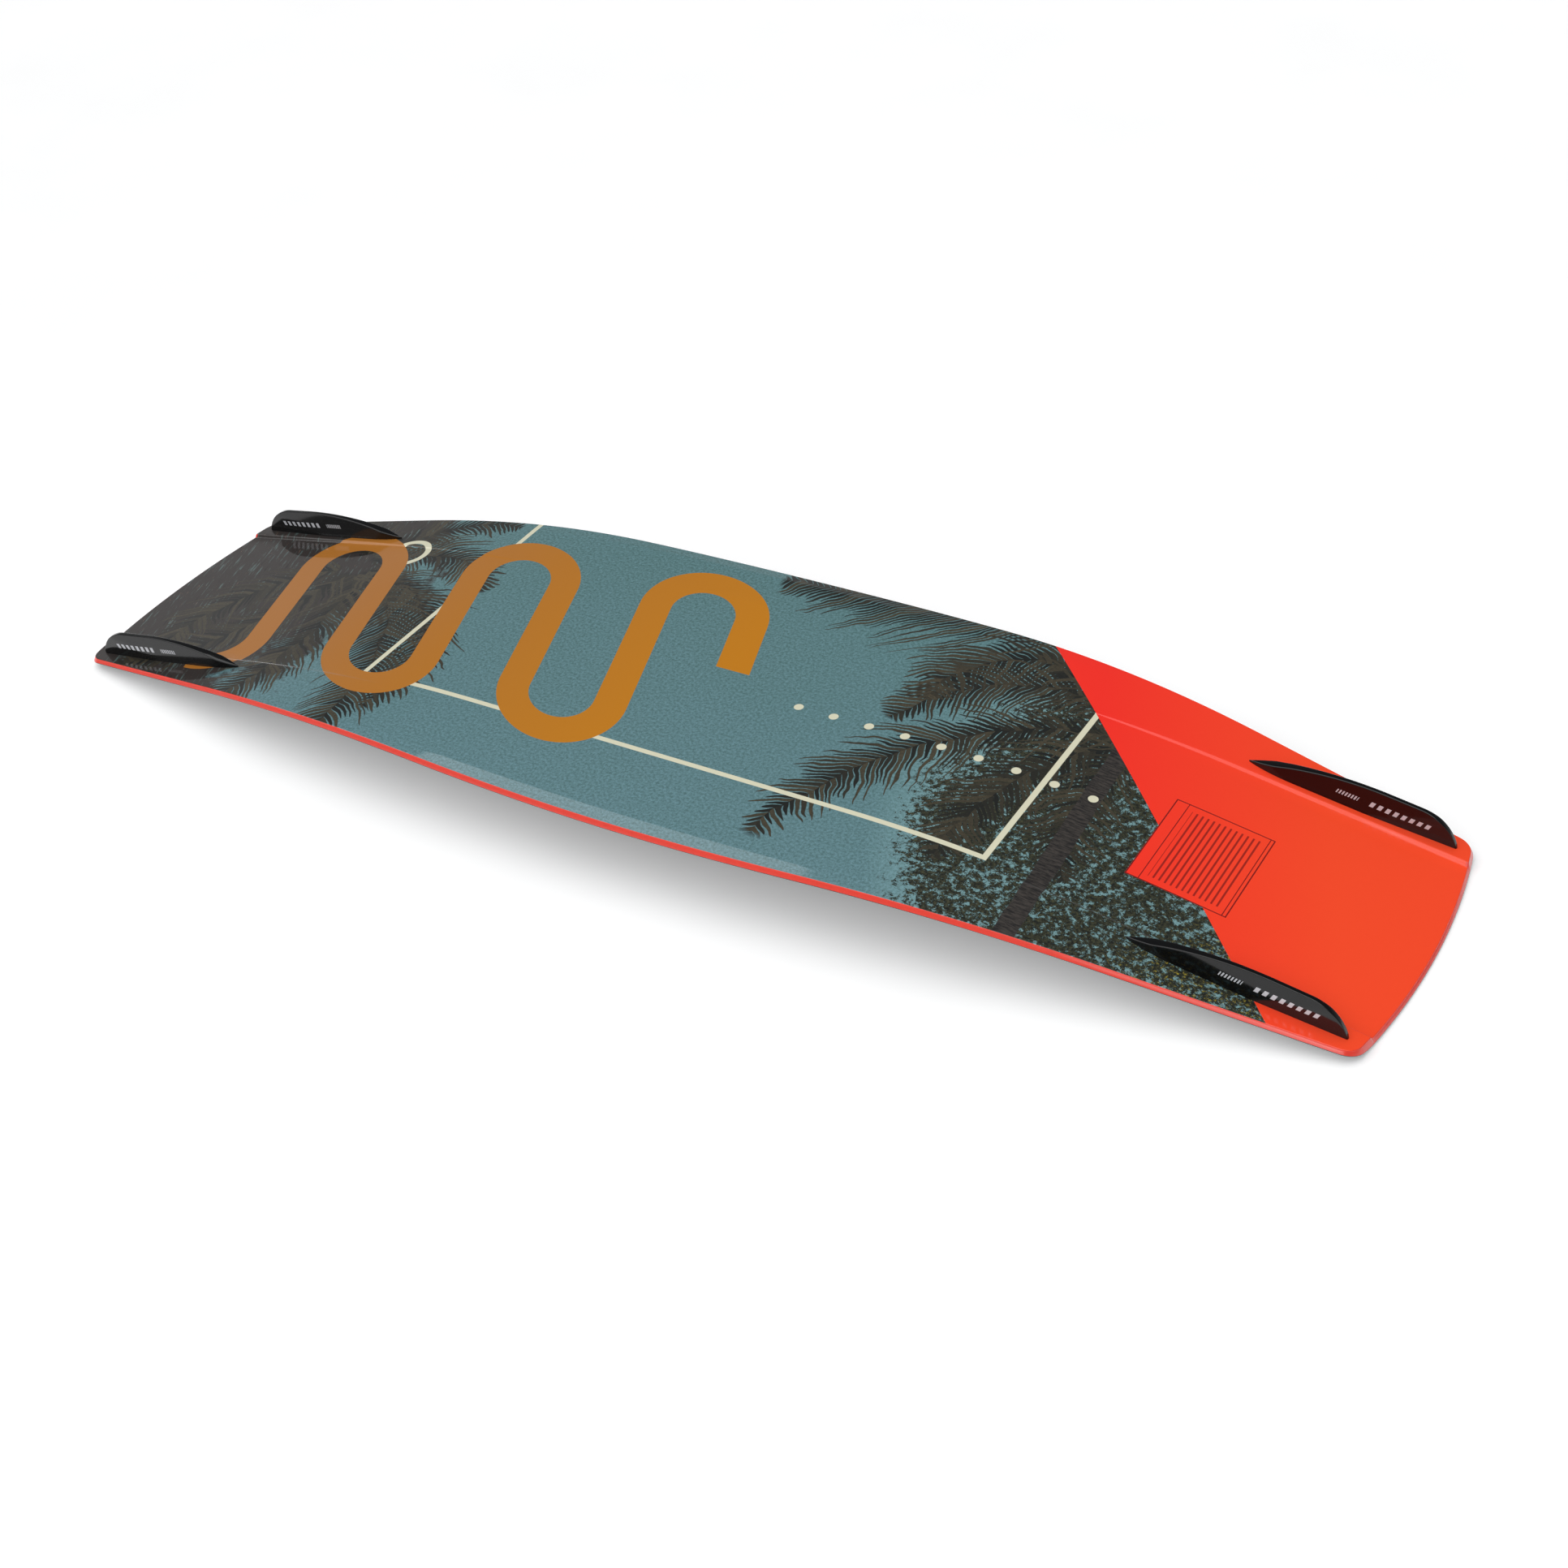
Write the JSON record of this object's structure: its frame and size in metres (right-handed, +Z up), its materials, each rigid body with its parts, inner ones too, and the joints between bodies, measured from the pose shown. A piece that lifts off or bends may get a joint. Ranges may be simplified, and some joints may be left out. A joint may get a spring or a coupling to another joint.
{
  "type": "wakeboard",
  "caption": "Twin-tip wakeboard with a channelled three-stage base, coral rails and ramp fins screwed on at the tips; threaded inserts in the deck take a pair of bindings.",
  "frame": {"origin": "under the middle of the board, on the floor that the deck edges at both tips touch, with the base facing up", "axes": "+X along the board to the front tip, +Y to the heel side, +Z up, out of the base"},
  "size_m": [1.3902, 0.418, 0.0719],
  "materials": {
    "base_print": "printed film under a clear gloss coat",
    "glass_laminate": "cured glass fibre laminate",
    "core_foam": "closed-cell polyurethane foam",
    "deck_plastic": "satin moulded sheet",
    "rail_coral": "moulded, coral red",
    "fin_black": "moulded, glossy black",
    "stainless": "stainless steel",
    "brass": "machined brass",
    "plug_plastic": "cast polyurethane",
    "strip_wood": "birch plywood"
  },
  "bodies": {
    "root": {"base_sheet": "base_print", "bottom_laminate": "glass_laminate", "core": "core_foam", "top_laminate": "glass_laminate", "top_sheet": "deck_plastic", "rail_heel_side": "rail_coral", "rail_toe_side": "rail_coral", "tip_spacer_front": "rail_coral", "tip_spacer_back": "rail_coral", "binding_inserts": "stainless", "fin_inserts": "brass", "fin_plugs": "plug_plastic", "fin_screws": "stainless", "fin_washers": "stainless", "insert_strip_front_heel": "strip_wood", "fin_front_heel": "fin_black", "insert_strip_front_toe": "strip_wood", "fin_front_toe": "fin_black", "insert_strip_back_heel": "strip_wood", "fin_back_heel": "fin_black", "insert_strip_back_toe": "strip_wood", "fin_back_toe": "fin_black"}
  },
  "joints": []
}
